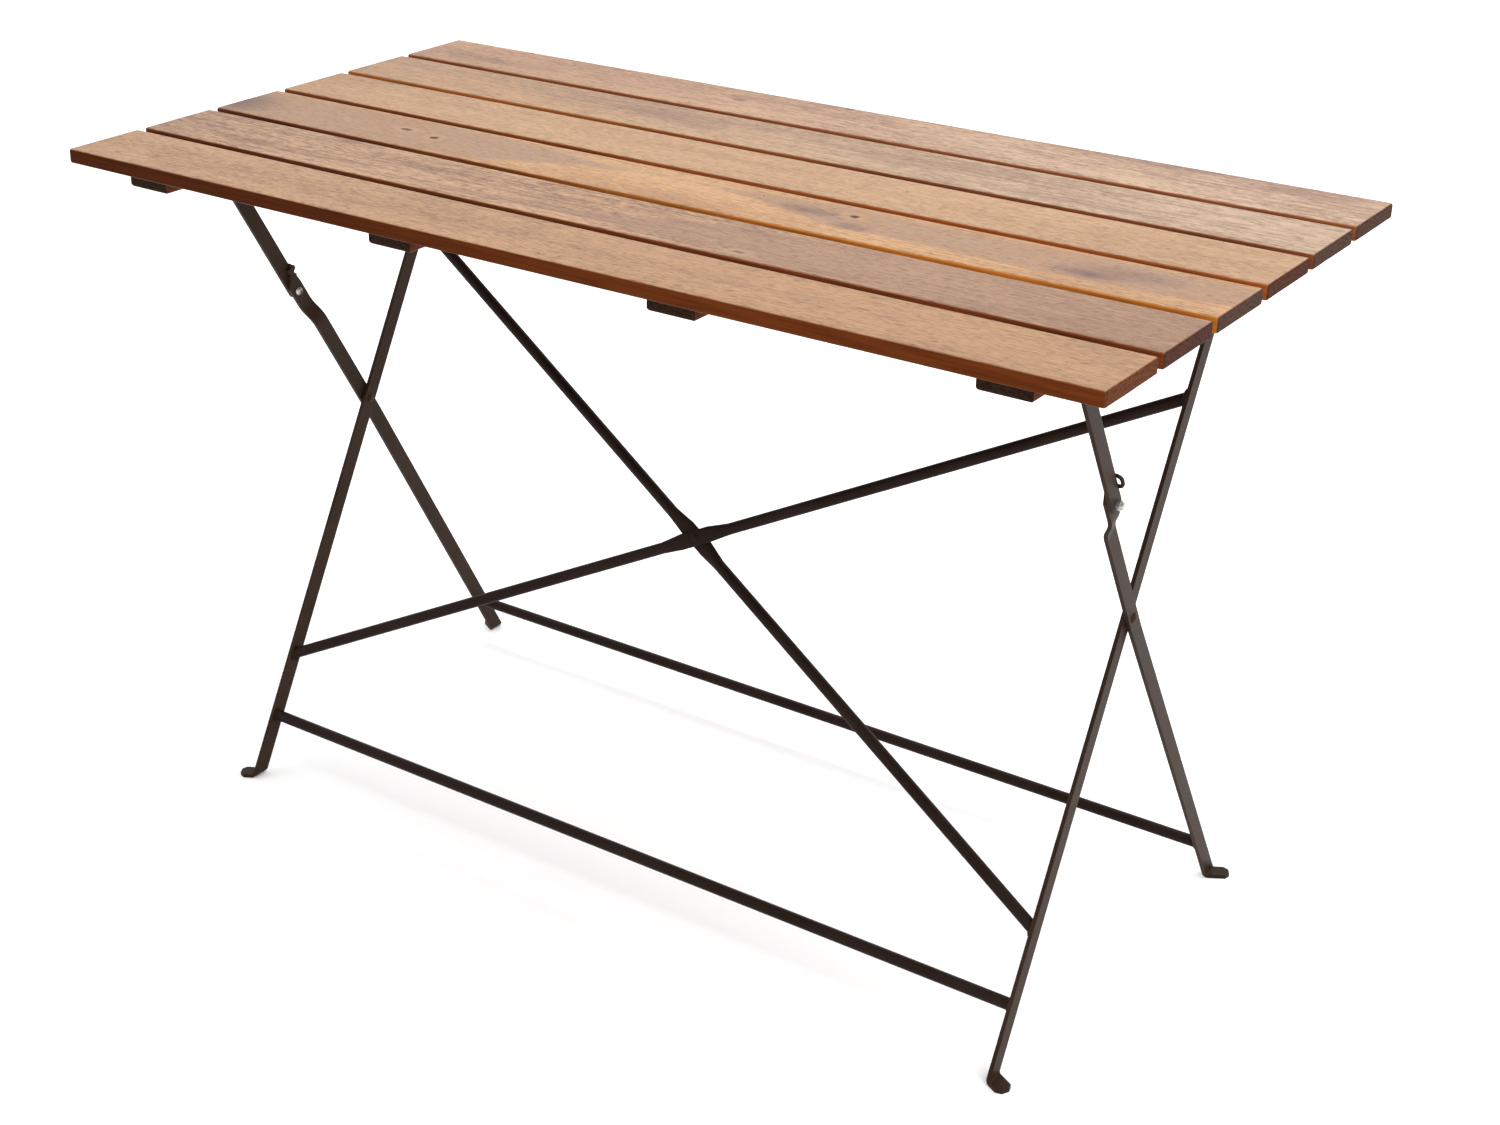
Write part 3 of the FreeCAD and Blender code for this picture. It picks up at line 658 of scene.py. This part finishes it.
def powder_coat(name, tones):
    """Dark brown-grey powder coat: a fine orange peel, cloudy gloss, and paler rubbed edges."""
    dark, pale = [colour(*tone) for tone in tones]
    tree = Tree(name)
    place = tree.coordinates.outputs["Object"]
    cloud = tree.noise(place, COAT_CLOUDS, 3.0)
    grain = tree.noise(place, COAT_GRAIN, 2.0)
    soft = tree.node("Bevel", COAT_EDGE, samples=EDGE_SAMPLES).outputs[0]
    facing = tree.node("VectorMath", soft, tree.node("NewGeometry").outputs["Normal"],
                       operation="DOT_PRODUCT").outputs["Value"]
    rubbed = tree.math("MULTIPLY", tree.fade(facing, 0.995, 0.88), tree.fade(cloud, 0.40, 0.62))
    base = tree.mix(tree.fade(cloud, 0.3, 0.7), dark, pale)
    base = tree.mix(tree.math("MULTIPLY", tree.fade(grain, 0.35, 0.70), 0.25), base, pale)
    base = tree.mix(tree.math("MULTIPLY", rubbed, 0.22), base, colour(0.17, 0.15, 0.135))
    roughness = tree.math("MULTIPLY_ADD", cloud, 0.22, 0.36)
    bump = tree.node("Bump", 0.12, 0.0002, None, grain, soft)
    return tree.finish(base, roughness, bump.outputs[0], Specular_IOR_Level=COAT_SHEEN,
                       Specular_Tint=WARM_SHEEN)


def zinc():
    """Bright zinc plating with turning marks."""
    dark, pale = [colour(*tone) for tone in ZINC_TONES]
    tree = Tree("zinc")
    place = tree.coordinates.outputs["Object"]
    cloud = tree.noise(place, ZINC_CLOUDS, 2.0)
    marks = tree.noise(place, ZINC_MARKS, 2.0)
    soft = tree.node("Bevel", ZINC_EDGE, samples=EDGE_SAMPLES).outputs[0]
    base = tree.mix(cloud, dark, pale)
    roughness = tree.math("MULTIPLY_ADD", marks, 0.30, 0.24)
    bump = tree.node("Bump", 0.15, 0.0001, None, marks, soft)
    return tree.finish(base, roughness, bump.outputs[0], metallic=1.0)


def paint_metal(bar_coat, shaded_rod_coat, plating):
    finishes = {"painted_steel": bar_coat, "zinc_steel": plating}
    for part in frame["record"]["subparts"]:
        if part["material_slot"] in finishes:
            set_material(NODES[part["node"]], finishes[part["material_slot"]])
    # painted shade: the round bars get the darker copy of the coat
    for rod in RODS:
        set_material(NODES[rod], shaded_rod_coat)


def weld(name, centre, rod, plate_normal, material, body):
    """A rippled bead of weld metal round the end of a round bar on a flat leg.

    The bead follows the ellipse in which the bar meets the leg's face; a bar square to the face has
    no slanted direction in it, so the bead is then laid out from Z.
    """
    slanted = (rod - plate_normal * rod.dot(plate_normal)).normalized()
    if slanted.length < 0.5:
        slanted = Vector((0, 0, 1))
    sideways = plate_normal.cross(slanted)
    slope = abs(rod.dot(plate_normal))
    mesh = bmesh.new()
    rings = []
    for turn in range(WELD_TURNS):
        angle = 2 * math.pi * turn / WELD_TURNS
        outward = slanted * math.cos(angle) / slope + sideways * math.sin(angle)
        middle = centre + outward * ROD_RADIUS + plate_normal * WELD_LIFT
        ripple = WELD_RIPPLE_DEPTH * math.cos(WELD_RIPPLES * angle)
        bead = WELD_RADIUS * (1 + ripple + WELD_UNEVENNESS * math.cos(2 * angle + 1))
        out = outward.normalized()
        ring = []
        for step in range(WELD_SIDES):
            around = 2 * math.pi * step / WELD_SIDES
            across = out * math.cos(around) + plate_normal * (WELD_LENGTHENING * math.sin(around))
            ring.append(mesh.verts.new(middle + bead * across))
        rings.append(ring)
    for turn in range(WELD_TURNS):
        here, there = rings[turn], rings[(turn + 1) % WELD_TURNS]
        for step in range(WELD_SIDES):
            beyond = (step + 1) % WELD_SIDES
            face = mesh.faces.new([here[step], there[step], there[beyond], here[beyond]])
            face.smooth = True
    bmesh.ops.recalc_face_normals(mesh, faces=mesh.faces)
    piece_from(mesh, name, material, body)


def weld_stretchers(coat):
    for bar, body in (("inner_stretcher", "inner_frame"), ("outer_stretcher", "outer_frame")):
        low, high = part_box(bar)
        for name, sign in SIDES.items():
            end = Vector((high.x if sign > 0 else low.x, (low.y + high.y) / 2, (low.z + high.z) / 2))
            weld(f"weld_{bar}_{name}", end, Vector((sign, 0, 0)), Vector((-sign, 0, 0)), coat, body)


def weld_braces(coat):
    """The ends of a brace's middle line lie on the inner legs' line from the crossing to the hinges."""
    crossing = Vector(JOINTS["cross"]["pos_m"])
    leg = (Vector(JOINTS["fold"]["pos_m"]) - crossing).normalized()
    for bar, rise in (("brace_rising", 1), ("brace_falling", -1)):
        low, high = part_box(bar)
        lowest, highest = low.z + ROD_RADIUS, high.z - ROD_RADIUS
        for name, sign in SIDES.items():
            height = highest if sign == rise else lowest
            end = crossing + leg * ((height - crossing.z) / leg.z)
            end.x = high.x if sign > 0 else low.x
            other = crossing + leg * ((lowest + highest - height - crossing.z) / leg.z)
            other.x = low.x if sign > 0 else high.x
            rod = (end - other).normalized()
            weld(f"weld_{bar}_{name}", end, rod, Vector((-sign, 0, 0)), coat, "inner_frame")


# ======== stage ========

def floor():
    """A plain pale floor."""
    tree = Tree("floor_paper")
    shade = tree.noise(tree.coordinates.outputs["Object"], (3, 3, 3), 3.0)
    base = tree.mix(shade, colour(0.95, 0.95, 0.95), colour(0.97, 0.97, 0.97))
    mesh = bmesh.new()
    bmesh.ops.create_circle(mesh, cap_ends=True, radius=FLOOR_RADIUS, segments=FLOOR_SIDES)
    thing_from(mesh, "floor", tree.finish(base, FLOOR_ROUGHNESS, None))


def softbox(name, place, size, power):
    light = bpy.data.lights.new(name, "AREA")
    light.shape = "RECTANGLE"
    light.size, light.size_y = size
    light.energy = power
    lamp = bpy.data.objects.new(name, light)
    lamp.location = place
    lamp.rotation_euler = (Vector(LIGHT_TARGET) - Vector(place)).to_track_quat("-Z", "Y").to_euler()
    bpy.context.scene.collection.objects.link(lamp)


def lights():
    """A bright white studio: light all round, more of it from above and the right, and two softboxes."""
    for name, (place, size, power) in SOFTBOXES.items():
        softbox(name, place, size, power)
    world = bpy.data.worlds.new("studio")
    world.use_nodes = True
    tree = world.node_tree
    direction = tree.nodes.new("ShaderNodeTexCoord")
    facing = tree.nodes.new("ShaderNodeVectorMath")
    facing.operation = "DOT_PRODUCT"
    facing.inputs[1].default_value = BRIGHT_SIDE
    strength = tree.nodes.new("ShaderNodeMapRange")
    for socket, value in zip(strength.inputs[1:], (DIM_UP_TO, BRIGHT_FROM, WORLD_DIM, WORLD_BRIGHT)):
        socket.default_value = value
    tree.links.new(direction.outputs["Generated"], facing.inputs[0])
    tree.links.new(facing.outputs["Value"], strength.inputs[0])
    tree.links.new(strength.outputs[0], tree.nodes["Background"].inputs["Strength"])
    tree.nodes["Background"].inputs["Color"].default_value = colour(1.0, 1.0, 1.0)
    bpy.context.scene.world = world
    bpy.context.scene.view_settings.view_transform = "Standard"


def camera():
    data = bpy.data.cameras.new("camera")
    data.lens = CAMERA_LENS
    data.shift_x, data.shift_y = CAMERA_SHIFT
    data.clip_end = CAMERA_REACH
    thing = bpy.data.objects.new("camera", data)
    thing.location = CAMERA_PLACE
    thing.rotation_euler = Euler([math.radians(turn) for turn in CAMERA_TURN])
    bpy.context.scene.collection.objects.link(thing)
    bpy.context.scene.camera = thing


bar_coat = powder_coat("bar_coat", BAR_TONES)
# the darker copy of the coat is painted shade for the round bars and their welds
shaded_rod_coat = powder_coat("shaded_rod_coat", SHADED_ROD_TONES)
make_boards()
paint_battens()
paint_metal(bar_coat, shaded_rod_coat, zinc())
weld_stretchers(shaded_rod_coat)
weld_braces(shaded_rod_coat)
floor()
lights()
camera()
